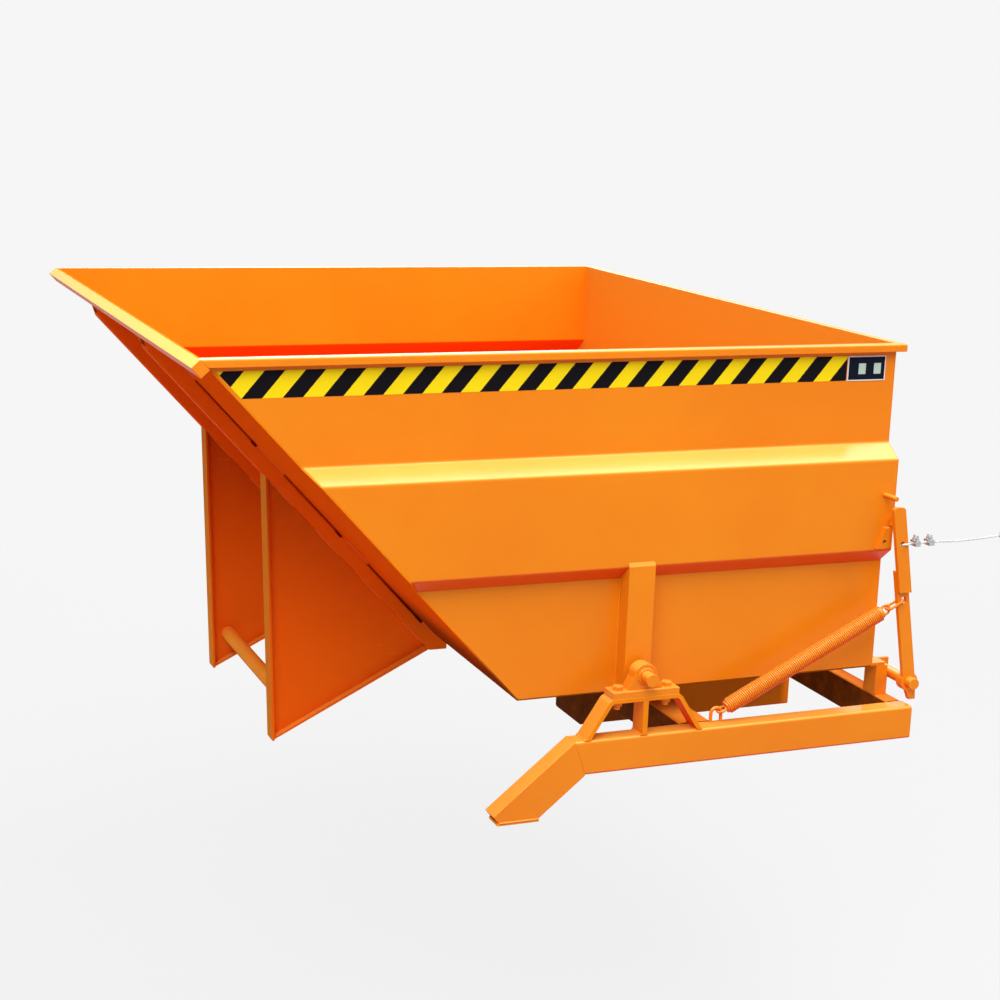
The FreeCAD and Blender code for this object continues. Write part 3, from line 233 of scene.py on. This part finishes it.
paintKinds = {
    "glossPaint": {},
    # wall, lip and rim: their own painted highlight colours on upward faces, the wall's only on outward faces
    "wallPaint": {"paintedHighlight": (0.96, 0.52, 0.075, 1), "outerHighlight": True},
    "lipPaint": {"paintedHighlight": (0.95, 0.78, 0.08, 1), "coat": 0.45},
    # rear wall: a lighter, yellower painted-light tone on its inner face
    "rearPaint": {"inside": (0.72, 0.29, 0.020, 1)},
    "rimPaint": {"paintedHighlight": (0.95, 0.38, 0.045, 1), "coat": 0.45},
    "standPaint": {"gloss": 0.3},
    # ribs: deeper red painted shade over the whole piece
    "mattPaint": {"under": paintedShadeRed, "gloss": 0.12, "paintedShadeShare": 0.75},
    # reset bar and foot plates: a brighter copy of the paint, painted light where they stand in shade
    "paintedLightPaint": {"colour": (1.0, 0.34, 0.03, 1), "cloud": (0.98, 0.30, 0.02, 1), "gloss": 0.1, "blendShare": 0.2},
    # plates: deeper red painted shade and painted shadow rising towards the slope, on the webs only
    "platePaint": {"under": paintedShadeRed, "gloss": 0.12, "paintedShadeShare": 0.75, "paintedShadowAmount": 0.33,
                   "paintedShadowRise": (0.16, 0.72), "webOnly": True},
    # fork pockets: painted shadow, less of it towards the rear
    "pocketPaint": {"gloss": 0.05, "paintedShadeShare": 0.30, "paintedShadowAmount": 0.86, "paintedShadowRun": (0.25, 0.60)},
    # slope and bottom: deeper red painted shade on undersides and painted shadow low down
    "slopePaint": {"under": paintedShadeRed, "gloss": 0.0, "blendShare": 0.15, "paintedShadowAmount": 0.72,
                   "paintedShadowRise": (0.44, 0.28)},
    # beams under the skip: painted shadow
    "paintedShadowPaint": {"gloss": 0.05, "paintedShadeShare": 0.30, "paintedShadowAmount": 0.83},
}


def orangePaint(name, look):
    book = newBook(name)
    place = book.place()
    along, across, high = book.axes(place)
    fore, sideways, upward = book.axes(book.facing())
    # downward faces take painted shade, upward faces a painted highlight
    under = (0.0 - upward).ease(*look["downEdge"])
    top = upward.ease(*look["upEdge"])
    if look["outerHighlight"]:
        top = top * (across * sideways > 0.0)  # the painted highlight only on faces turned away from the skip's middle
    cloud = book.noise(place, *look["cloudNoise"])
    fine = book.noise(place, *look["fineNoise"])
    rubPatch = book.noise(place, *look["rubNoise"]).ease(*look["rubEdge"])
    streaks = book.stretch(place, look["lineStretch"], look["lineTurn"])
    rub = rubPatch * book.noise(streaks, *look["lineNoise"]).ease(*look["lineEdge"]) * look["rubAmount"]
    dust = (1 - high.ease(0.0, look["dustTop"])) * fine.ease(*look["dustEdge"]) * look["dustAmount"]
    paintedShadeShare, paintedShadow, gloss = look["paintedShadeShare"], look["paintedShadowAmount"], look["gloss"]
    if look["webOnly"]:  # painted shade and painted shadow only on the flat web of a plate, not its edge bars
        web = sideways.size().ease(*look["webEdge"])
        paintedShadeShare = web * paintedShadeShare
        paintedShadow = web * paintedShadow
    colour = book.blend(cloud.ease(*look["cloudEdge"]), look["cloud"], look["colour"])
    if look["inside"]:  # a lighter, yellower painted-light tone on the face that looks forward, into the skip
        colour = book.blend((0.0 - fore).ease(*look["insideEdge"]), colour, look["inside"])
    # painted highlight: upward faces paler, unevenly with the tone clouds
    paintedHighlight = top * (1 - paintedShadeShare) * look["blendShare"] * (look["highlightEven"] + cloud * look["highlightCloudy"])
    colour = book.blend(paintedHighlight, colour, look["paintedHighlight"])
    # painted shade: a deeper red on downward faces, and over the whole piece by its share
    colour = book.blend(under.larger(paintedShadeShare), colour, look["under"])
    # painted shadow, not on upward faces, fading out towards the rear end
    shade = (1 - top) * (1 - along.ease(*look["paintedShadowEnd"])) * paintedShadow
    if look["paintedShadowRise"]:
        shade = shade * high.ease(*look["paintedShadowRise"])
    if look["paintedShadowRun"]:
        shade = shade * (1 - along.ease(*look["paintedShadowRun"]) * look["paintedShadowRunFade"])
    colour = book.blend(shade * (look["paintedShadowEven"] + fine * look["paintedShadowPatchy"]), colour, look["paintedShadow"])
    colour = book.blend(rub, colour, look["rub"])
    colour = book.blend(dust, colour, look["dust"])
    normal = book.bump(book.noise(place, *look["waveNoise"]), *look["waveBump"])
    normal = book.bump(book.noise(place, *look["peelNoise"]), *look["peelBump"], normal)
    rough = look["rough"] + (1 - gloss) * look["mattRough"] + fine * look["fineRough"]
    rough = rough + rub * look["rubRough"] + dust * look["dustRough"]
    coat = 0.0
    if gloss:
        coat = (1 - under) * (look["wallCoat"] + top * (look["coat"] - look["wallCoat"])) * gloss
    shader = book.node("ShaderNodeBsdfPrincipled", inputs={
        "Base Color": colour, "Roughness": rough, "Normal": normal, "Coat Weight": coat,
        "Specular IOR Level": look["specular"] * gloss,
        "Coat Roughness": look["coatRough"], "Coat IOR": look["coatIor"]})
    return book.close(shader)


# Zinc coat with spangle on the chain, the clips and the cable's end eye
zincLook = {
    "light": (0.66, 0.67, 0.68, 1), "dark": (0.44, 0.45, 0.47, 1), "spangle": 190.0, "toneMix": 0.8,
    "stain": (0.30, 0.28, 0.25, 1), "stainNoise": (60.0, 4.0, 0.6), "stainEdge": (0.58, 0.78),
    "stainMix": 0.5, "grainNoise": (700.0, 2.0), "grainBump": (0.08, 0.0004),
    "rough": 0.34, "toneRough": 0.14, "stainRough": 0.1,
}


def zincCoat(look):
    book = newBook("zincCoat")
    place = book.place()
    cells = {"Vector": place, "Scale": look["spangle"]}
    cell = book.node("ShaderNodeTexVoronoi", inputs=cells, output="Color")
    tone = book.node("ShaderNodeSeparateColor", inputs={0: cell})
    stain = book.noise(place, *look["stainNoise"])
    colour = book.blend(tone * look["toneMix"], look["dark"], look["light"])
    colour = book.blend(stain.ease(*look["stainEdge"]) * look["stainMix"], colour, look["stain"])
    shader = book.node("ShaderNodeBsdfPrincipled", inputs={
        "Base Color": colour, "Metallic": 1.0,
        "Roughness": look["rough"] + tone * look["toneRough"] + stain * look["stainRough"],
        "Normal": book.bump(book.noise(place, *look["grainNoise"]), *look["grainBump"])})
    return book.close(shader)


# Bright wire for the release cable, with grime in patches
wireLook = {
    "bright": (0.70, 0.70, 0.68, 1), "rough": 0.30,
    "grime": (0.22, 0.21, 0.19, 1), "grimeNoise": (130.0, 4.0, 0.6), "grimeEdge": (0.52, 0.74),
    "grimeMix": 0.6, "grimeRough": 0.2,
    "drawnStretch": (60, 900, 900), "drawnNoise": (1.0, 2.0), "drawnRough": 0.12, "drawnBump": (0.06, 0.0002),
}


def brightWire(look):
    book = newBook("brightWire")
    place = book.place()
    grime = book.noise(place, *look["grimeNoise"]).ease(*look["grimeEdge"])
    drawn = book.noise(book.stretch(place, look["drawnStretch"]), *look["drawnNoise"])
    colour = book.blend(grime * look["grimeMix"], look["bright"], look["grime"])
    shader = book.node("ShaderNodeBsdfPrincipled", inputs={
        "Base Color": colour, "Metallic": 1.0,
        "Roughness": look["rough"] + drawn * look["drawnRough"] + grime * look["grimeRough"],
        "Normal": book.bump(drawn, *look["drawnBump"])})
    return book.close(shader)


# Hazard tape: slanted black and yellow bars worked out along the side of the skip
tapeLook = {
    "period": 0.0864, "lean": 0.85, "start": 0.031, "periodsBefore": 20.0, "blackHalf": 0.25,
    "raggedNoise": (240.0, 2.0), "ragged": 0.012,
    "yellow": (0.90, 0.68, 0.010, 1), "oldYellow": (0.86, 0.58, 0.006, 1),
    "oldNoise": (14.0,), "oldEdge": (0.3, 0.7), "oldMix": 0.25,
    "black": (0.007, 0.006, 0.008, 1), "wornBlack": (0.035, 0.032, 0.03, 1),
    "wornNoise": (70.0, 5.0, 0.65), "wornEdge": (0.60, 0.80), "wornMix": 0.35, "wornRough": 0.2,
    "rough": 0.36, "specular": 0.03, "filmNoise": (300.0, 2.0), "filmBump": (0.05, 0.0004),
}


def hazardTape(look):
    book = newBook("hazardTape")
    place = book.place()
    along, high = book.axes(place)[::2]
    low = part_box("hazard_tape_left")[0]
    shift = (along - low.x - look["start"] - (high - low.z) * look["lean"]) / look["period"]
    ragged = book.noise(place, *look["raggedNoise"]) * look["ragged"]
    black = ((shift + ragged + look["periodsBefore"]).part() - 0.5).size() < look["blackHalf"]
    worn = book.noise(place, *look["wornNoise"]).ease(*look["wornEdge"])
    old = book.noise(place, *look["oldNoise"]).ease(*look["oldEdge"])
    yellow = book.blend(old * look["oldMix"], look["yellow"], look["oldYellow"])
    dark = book.blend(worn * look["wornMix"], look["black"], look["wornBlack"])
    shader = book.node("ShaderNodeBsdfPrincipled", inputs={
        "Base Color": book.blend(black, yellow, dark), "Specular IOR Level": look["specular"],
        "Roughness": look["rough"] + worn * look["wornRough"],
        "Normal": book.bump(book.noise(place, *look["filmNoise"]), *look["filmBump"])})
    return book.close(shader)


# Blank label: dark film, pale edge and two empty pale fields
labelLook = {
    "film": (0.006, 0.008, 0.018, 1), "edge": (0.74, 0.68, 0.66, 1), "edgeWide": 0.0026,
    "field": (0.46, 0.57, 0.50, 1), "fieldCentres": (-0.012, 0.029), "fieldDrop": 0.001,
    "fieldHalf": (0.0095, 0.0125),
    "rough": 0.30, "smearNoise": (120.0, 4.0, 0.6), "smearRough": 0.15, "specular": 0.04,
}


def labelFilm(look):
    book = newBook("labelFilm")
    low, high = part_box("blank_label")
    middle = (low + high) / 2
    half = (high - low) / 2
    place = book.place()
    along, up = book.axes(place)[::2]
    along = along - middle.x
    up = up - middle.z
    edge = (along.size() > half.x - look["edgeWide"]).larger(up.size() > half.z - look["edgeWide"])
    halfWide, halfTall = look["fieldHalf"]
    tall = (up + look["fieldDrop"]).size() < halfTall
    first, second = [((along - centre).size() < halfWide) * tall for centre in look["fieldCentres"]]
    colour = book.blend(first.larger(second), look["film"], look["field"])
    colour = book.blend(edge, colour, look["edge"])
    smear = book.noise(place, *look["smearNoise"])
    shader = book.node("ShaderNodeBsdfPrincipled", inputs={
        "Base Color": colour, "Specular IOR Level": look["specular"],
        "Roughness": look["rough"] + smear * look["smearRough"]})
    return book.close(shader)


# Finishes by material slot, and the paints of nodes that differ, by the start of a node's name
paints = {name: orangePaint(name, {**paintLook, **change}) for name, change in paintKinds.items()}
finishes = {
    "orange_paint": paints["glossPaint"], "galvanised_steel": zincCoat(zincLook),
    "wire_rope": brightWire(wireLook), "hazard_tape": hazardTape(tapeLook),
    "label_film": labelFilm(labelLook),
}
ownPaint = {
    "side_panel": "wallPaint", "rear_panel": "rearPaint", "slope_panel": "slopePaint",
    "bottom_panel": "slopePaint", "rim_front": "lipPaint", "rim_": "rimPaint",
    "slope_rib": "mattPaint", "stand_plate": "platePaint", "reset_bar": "paintedLightPaint",
    # pockets and beams under the skip take painted shadow
    "fork_pocket": "pocketPaint", "front_beam": "paintedShadowPaint", "rear_beam": "paintedShadowPaint",
    "bearing_stand": "standPaint", "stand_posts": "standPaint", "foot_plates": "paintedLightPaint",
}


def finishOf(node):
    for start, paint in ownPaint.items():
        if node.startswith(start):
            return paints[paint]
    return finishes[slotOf[node]]


for node, item in nodes.items():
    item.data.materials.clear()
    item.data.materials.append(finishOf(node))
print("finishes made:", len(bpy.data.materials))


# New pieces: one bmesh each, in place in the frame
def newPiece(name, work, body, finish):
    mesh = bpy.data.meshes.new(name)
    work.to_mesh(mesh)
    work.free()
    mesh.shade_smooth()
    mesh.materials.append(finish)
    piece = bpy.data.objects.new(name, mesh)
    scene.collection.objects.link(piece)
    if body:
        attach(piece, body)
    return piece


def closeEnds(work):
    bmesh.ops.holes_fill(work, edges=[edge for edge in work.edges if edge.is_boundary], sides=0)
    bmesh.ops.recalc_face_normals(work, faces=work.faces)


# Rounded copies of the solids, so that folds and cut edges catch the light as sprayed steel does
edgeLook = {
    "cut": 1.1 * mm, "fold": 5.0 * mm, "segments": 3, "merge": 0.005 * mm,
    "sharp": math.radians(24), "foldMost": math.radians(75), "flat": math.radians(0.4),
    "shadeSharp": math.radians(50),
    "folded": ("side_panel",),
    "skip": ("return_spring", "safety_chain", "release_cable", "hazard_tape", "blank_label", "spring_",
             "cable_", "chain_"),
}


def roundedCopy(node, look):
    work = bmesh.new()
    work.from_mesh(nodes[node].data)
    bmesh.ops.remove_doubles(work, verts=work.verts, dist=look["merge"])
    bmesh.ops.dissolve_limit(work, angle_limit=look["flat"], verts=work.verts, edges=work.edges,
                             delimit={"NORMAL"})
    width, most = look["cut"], math.pi
    if node.startswith(look["folded"]):
        width, most = look["fold"], look["foldMost"]
    edges = [edge for edge in work.edges if len(edge.link_faces) == 2
             and look["sharp"] < edge.calc_face_angle(0.0) < most]
    bmesh.ops.bevel(work, geom=edges, affect="EDGES", offset=width, offset_type="OFFSET",
                    segments=look["segments"], profile=0.5, material=-1, clamp_overlap=True)
    piece = newPiece(node + ".sprayed", work, None, finishOf(node))
    piece.data.set_sharp_from_angle(angle=look["shadeSharp"])
    piece.modifiers.new("evenShade", "WEIGHTED_NORMAL").keep_sharp = True
    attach(piece, bodyOf[node])
    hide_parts(node)


for node in sorted(nodes):
    if not node.startswith(edgeLook["skip"]):
        roundedCopy(node, edgeLook)
print("rounded copies made")


# Return spring, in millimetres: one wound wire between the left rail and the left lever
springSetup = {
    "eye": (332.71, -925.0, 196.0), "anchor": (816.24, -925.0, 432.0), "coilFrom": 30.6, "coilTo": 473.9,
    "turns": 91, "radius": 16.8, "wire": 2.2, "stepsPerTurn": 18, "sides": 8,
    "slackFrom": 0.82,  # a share of the spring's length
}


def makeSpring(setup):
    eye = Vector(setup["eye"]) * mm
    pull = (Vector(setup["anchor"]) * mm - eye).normalized()
    start = eye + pull * (setup["coilFrom"] + setup["wire"]) * mm
    end = eye + pull * (setup["coilTo"] - setup["wire"]) * mm
    out = pull.cross(Vector((0, 1, 0)))
    steps = setup["turns"] * setup["stepsPerTurn"]
    rise = (end - start).length / steps
    work = bmesh.new()
    ring = bmesh.ops.create_circle(work, cap_ends=False, segments=setup["sides"], radius=setup["wire"] * mm)
    stand = Matrix((out, pull, out.cross(pull))).transposed().to_4x4()
    bmesh.ops.transform(work, matrix=Matrix.Translation(start + out * setup["radius"] * mm) @ stand,
                        verts=ring["verts"])
    bmesh.ops.spin(work, geom=list(work.edges), cent=start, axis=pull, dvec=pull * rise,
                   angle=2 * math.pi * setup["turns"], steps=steps, use_merge=False)
    closeEnds(work)
    spring = newPiece("return_spring.wound", work, None, paints["glossPaint"])
    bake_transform(spring)
    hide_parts("return_spring")


makeSpring(springSetup)
print("spring wound")


# A tube along points, bent from a unit grid and wound round them when it has an offset
seamShare = 0.01


def sweep(work, points, radius, sides, offset=0.0, lay=0.0, phase=0.0, ripple=0.0):
    last = len(points) - 1
    grid = bmesh.ops.create_grid(work, x_segments=last, y_segments=sides, size=0.5)["verts"]
    frames = []
    side = Vector((0, 0, 1))  # an upright run lies along this, so its first rings are pinched
    run = 0.0
    for number, point in enumerate(points):
        heading = (points[min(number + 1, last)] - points[max(number - 1, 0)]).normalized()
        side = (side - heading * side.dot(heading)).normalized()
        run += (point - points[number - 1]).length if number else 0.0
        frames.append((point, side, heading.cross(side), run))
    for vertex in grid:
        number = round((vertex.co.x + 0.5) * last)
        around = 2 * math.pi * (vertex.co.y + 0.5)
        spot, side, other, run = frames[number]
        if offset:
            wind = 2 * math.pi * run / lay + phase
            spot = spot + (side * math.cos(wind) + other * math.sin(wind)) * offset
        swell = 1 + ripple * math.cos(math.pi * number)  # every second ring stands out
        vertex.co = spot + (side * math.cos(around) + other * math.sin(around)) * radius * swell
    bmesh.ops.remove_doubles(work, verts=grid, dist=radius * seamShare)


# Release cable, in millimetres from the lever's hole: laid strands round a core, along one smooth route
cableSetup = {
    "lever": (791.46, -937.0, 572.0),
    "route": ((99, -2.8, 0), (26, -2.8, 0), (16.5, -9.5, 0), (0, -9.5, 0), (0, 9.5, 0), (16.5, 9.5, 0),
              (26, 2.8, 0), (92, 2.8, 0), (145, 2.8, -1.74), (197.2, 2.8, -0.87), (243.6, 2.8, 1.74),
              (290, 2.8, 6.09)),
    "order": 3, "reading": 26,
    "radius": 2.5, "strands": 6, "strandsAcross": 3, "coreSwell": 1.2, "lay": 34.0, "sides": 6,
}


def routePoints(setup):
    corner = setup["lever"]
    curve = bpy.data.curves.new("cableRoute", "CURVE")
    curve.dimensions = "3D"
    spline = curve.splines.new("NURBS")
    spline.points.add(len(setup["route"]) - 1)
    for point, (along, out, up) in zip(spline.points, setup["route"]):
        point.co = ((corner[0] + along) * mm, (corner[1] - out) * mm, (corner[2] + up) * mm, 1)
    spline.order_u = setup["order"]
    spline.use_endpoint_u = True
    spline.resolution_u = setup["reading"]
    holder = bpy.data.objects.new("cableRoute", curve)
    scene.collection.objects.link(holder)
    line = bpy.data.meshes.new_from_object(holder)
    points = [vertex.co.copy() for vertex in line.vertices]
    bpy.data.objects.remove(holder)
    return points


def lineLength(points):
    return sum((after - before).length for before, after in zip(points, points[1:]))


def makeCable(setup):
    points = routePoints(setup)
    work = bmesh.new()
    thick = setup["radius"] * mm / setup["strandsAcross"]
    sweep(work, points, thick * setup["coreSwell"], setup["sides"])
    for strand in range(setup["strands"]):
        sweep(work, points, thick, setup["sides"], thick * 2, setup["lay"] * mm,
              2 * math.pi * strand / setup["strands"])
    closeEnds(work)
    cable = newPiece("release_cable.laid", work, "latch", finishes["wire_rope"])
    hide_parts("release_cable")
    print("cable length", round(lineLength(points), 4))


makeCable(cableSetup)


# Weld beads, in millimetres: rippled runs where plates and bars meet, the same on both sides
weldSetup = {
    "axis": 132.71, "railTop": 176.0, "railIn": 913.0, "railOut": 963.0, "railMargin": 2.0,
    "standFoot": 145.0, "standUnder": 256.0, "postHalf": 6.5,
    "channelHalf": 32.5, "lowerWall": 865.0, "channelFoot": 252.0, "channelHead": 516.0,
    "slopeTop": (-859.29, 1034.0), "slopeFoot": (-139.29, 250.0), "ribSides": (265.0, 325.0),
    "ribStitches": ((60, 178), (397, 491), (710, 804), (1023, 1060)),
    "plateTop": (-572.3, 668.3), "plateTail": (-148.7, 207.0), "plateSides": (297.0, 303.0),
    "plateStitches": ((24, 110), (190, 280), (360, 450), (530, 606)),
    "sole": (-212.0, -121.0, 6.0), "radius": 2.6, "step": 3.2, "sides": 8, "ripple": 0.13,
}


def stitches(head, foot, stretches, sides):
    head = Vector(head)
    down = (Vector(foot) - head).normalized()
    return [[(spot.x, y, spot.y) for spot in (head + down * first, head + down * last)]
            for first, last in stretches for y in sides]


def weldRuns(setup):
    axis, top = setup["axis"], setup["railTop"]
    rail = (setup["railIn"] + setup["railMargin"], setup["railOut"] - setup["railMargin"])
    base = [[(axis + way * setup["standFoot"], y, top) for y in rail] for way in (-1, 1)]
    base += [[(axis + way * setup["postHalf"], y, z) for y in rail]
             for way in (-1, 1) for z in (top, setup["standUnder"])]
    toe, heel, z = setup["sole"]
    base += [[(toe, y, z), (heel, y, z)] for y in (setup["railIn"], setup["railOut"])]
    skip = [[(axis + way * setup["channelHalf"], setup["lowerWall"], z)
             for z in (setup["channelFoot"], setup["channelHead"])] for way in (-1, 1)]
    skip += stitches(setup["slopeTop"], setup["slopeFoot"], setup["ribStitches"], setup["ribSides"])
    skip += stitches(setup["plateTop"], setup["plateTail"], setup["plateStitches"], setup["plateSides"])
    return {"base": base, "skip": skip}


def beadPoints(start, end, step):
    # points at even steps along a run, and its end; the rings of an upright run hang on their rounding
    length = (end - start).length
    points = [start]
    gone = 0.0
    while length - gone >= step:
        gone += step
        points.append(start.lerp(end, gone / length))
    return points + [end]


def makeWelds(setup):
    for body, runs in weldRuns(setup).items():
        work = bmesh.new()
        for run in runs:
            for side in (-1, 1):
                start, end = [Vector((x, side * y, z)) * mm for x, y, z in run]
                sweep(work, beadPoints(start, end, setup["step"] * mm), setup["radius"] * mm, setup["sides"],
                      ripple=setup["ripple"])
        closeEnds(work)
        newPiece("weldBeads." + body, work, body, paints["glossPaint"])


makeWelds(weldSetup)
print("welds laid")


# Pale floor, set low enough for the skip to tip as it does on raised forks, soft lamps and a white sky
stageSetup = {
    "floorDrop": -0.66, "floorHalf": 9.0, "floor": (0.55, 0.55, 0.55, 1), "fadeEdge": (2.4, 5.0),
    "floorGlow": 0.90, "white": (0.92, 0.92, 0.92, 1),
    "skyTop": 0.62, "skyLow": 0.24, "skyEdge": (-0.25, 0.9),
    "lamps": (
        {"name": "keyLamp", "place": (-1.9, -4.0, 4.9), "aim": (0.0, -0.5, 0.5), "wide": 4.2, "power": 292},
        {"name": "topLamp", "place": (1.5, -0.5, 5.3), "aim": (0.0, -0.3, 0.6), "wide": 4.2, "power": 240},
        {"name": "rearLamp", "place": (4.6, -3.0, 2.6), "aim": (0.3, -0.3, 0.5), "wide": 3.0, "power": 60},
        {"name": "farLamp", "place": (1.2, 4.8, 3.0), "aim": (0.0, 0.6, 0.4), "wide": 3.4, "power": 150},
    ),
}


def seenRays(book):
    # rays that show a surface, straight, mirrored or through glass, as against those that light the skip
    outputs = book.node("ShaderNodeLightPath").socket.node.outputs
    straight, mirrored, through = [
        Field(book, outputs[name]) for name in ("Is Camera Ray", "Is Glossy Ray", "Is Transmission Ray")]
    return straight.larger(mirrored).larger(through)


def makeFloor(setup):
    work = bmesh.new()
    bmesh.ops.create_grid(work, x_segments=2, y_segments=2, size=setup["floorHalf"])
    bmesh.ops.translate(work, verts=work.verts, vec=(0, 0, setup["floorDrop"]))
    book = newBook("paleFloor")
    along, across = book.axes(book.place())[:2]
    blendShare = (along * along + across * across).root().ease(*setup["fadeEdge"])
    diffuse = book.node("ShaderNodeBsdfDiffuse", inputs={"Color": setup["floor"]})
    glow = book.node("ShaderNodeEmission", inputs={"Color": setup["white"], "Strength": 1.0})
    shown = seenRays(book) * setup["floorGlow"]
    lit = book.node("ShaderNodeMixShader", inputs={0: shown, 1: diffuse, 2: glow})
    clear = book.node("ShaderNodeBsdfTransparent")
    mixed = book.node("ShaderNodeMixShader", inputs={0: blendShare, 1: lit, 2: clear})
    floor = newPiece("paleFloor", work, None, book.close(mixed))


def makeSky(setup):
    world = bpy.data.worlds.new("studioSky")
    scene.world = world
    book = NodeBook(world)
    up = book.axes(book.node("ShaderNodeTexCoord", output="Generated"))[2]
    level = setup["skyLow"] + up.ease(*setup["skyEdge"]) * (setup["skyTop"] - setup["skyLow"])
    soft = book.node("ShaderNodeBackground", inputs={"Color": (1, 1, 1, 1), "Strength": level})
    white = book.node("ShaderNodeBackground", inputs={"Color": setup["white"], "Strength": 1.0})
    mixed = book.node("ShaderNodeMixShader", inputs={0: seenRays(book), 1: soft, 2: white})
    book.node("ShaderNodeOutputWorld", inputs={"Surface": mixed})


def makeLamp(lamp):
    data = bpy.data.lights.new(lamp["name"], "AREA")
    data.shape = "DISK"
    data.size = lamp["wide"]
    data.energy = lamp["power"]
    item = bpy.data.objects.new(lamp["name"], data)
    scene.collection.objects.link(item)
    turn = (Vector(lamp["aim"]) - Vector(lamp["place"])).to_track_quat("-Z", "Y")
    item.matrix_world = Matrix.Translation(lamp["place"]) @ turn.to_matrix().to_4x4()
    item.visible_camera = False


makeFloor(stageSetup)
makeSky(stageSetup)
for lamp in stageSetup["lamps"]:
    makeLamp(lamp)
print("stage set")
